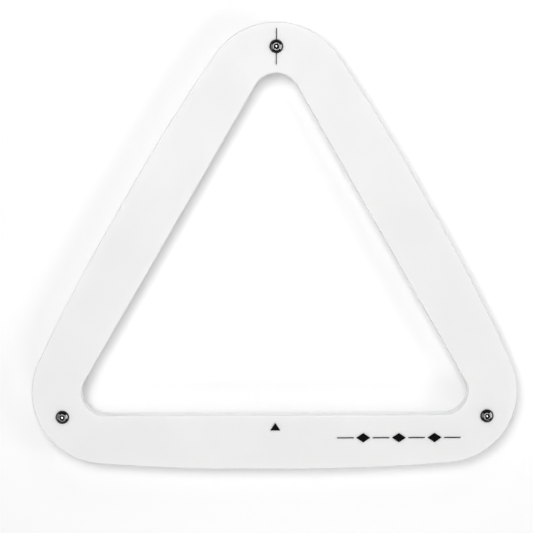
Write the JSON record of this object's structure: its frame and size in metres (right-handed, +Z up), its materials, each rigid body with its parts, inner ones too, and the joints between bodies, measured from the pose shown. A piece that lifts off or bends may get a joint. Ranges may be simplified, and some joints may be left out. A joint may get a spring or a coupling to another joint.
{
  "type": "triangle rack",
  "caption": "Flat triangular rack for pool balls: a rounded translucent plate with a triangular opening, raised on corner legs with felt glides.",
  "frame": {"origin": "on the cloth, under the middle of the plate's outline; the middle of the ball triangle is 36 mm from it, towards -Y", "axes": "+Z up, +Y towards the apex, +X to the right of someone who looks from the base side to the apex"},
  "size_m": [0.379, 0.348, 0.0379],
  "materials": {
    "plate": "translucent white polymer, satin, with rounded edges",
    "mark": "black paint filling, level with the plate",
    "screw": "black oxide, polished, barer along the edges",
    "leg": "turned, clear anodised",
    "glide": "pressed wool felt, dark grey"
  },
  "bodies": {
    "root": {"rack_plate": "plate", "sight_line": "mark", "base_pointer": "mark", "diamond_strip": "mark", "apex_screw": "screw", "left_screw": "screw", "right_screw": "screw", "apex_leg": "leg", "left_leg": "leg", "right_leg": "leg", "apex_glide": "glide", "left_glide": "glide", "right_glide": "glide"}
  },
  "joints": []
}
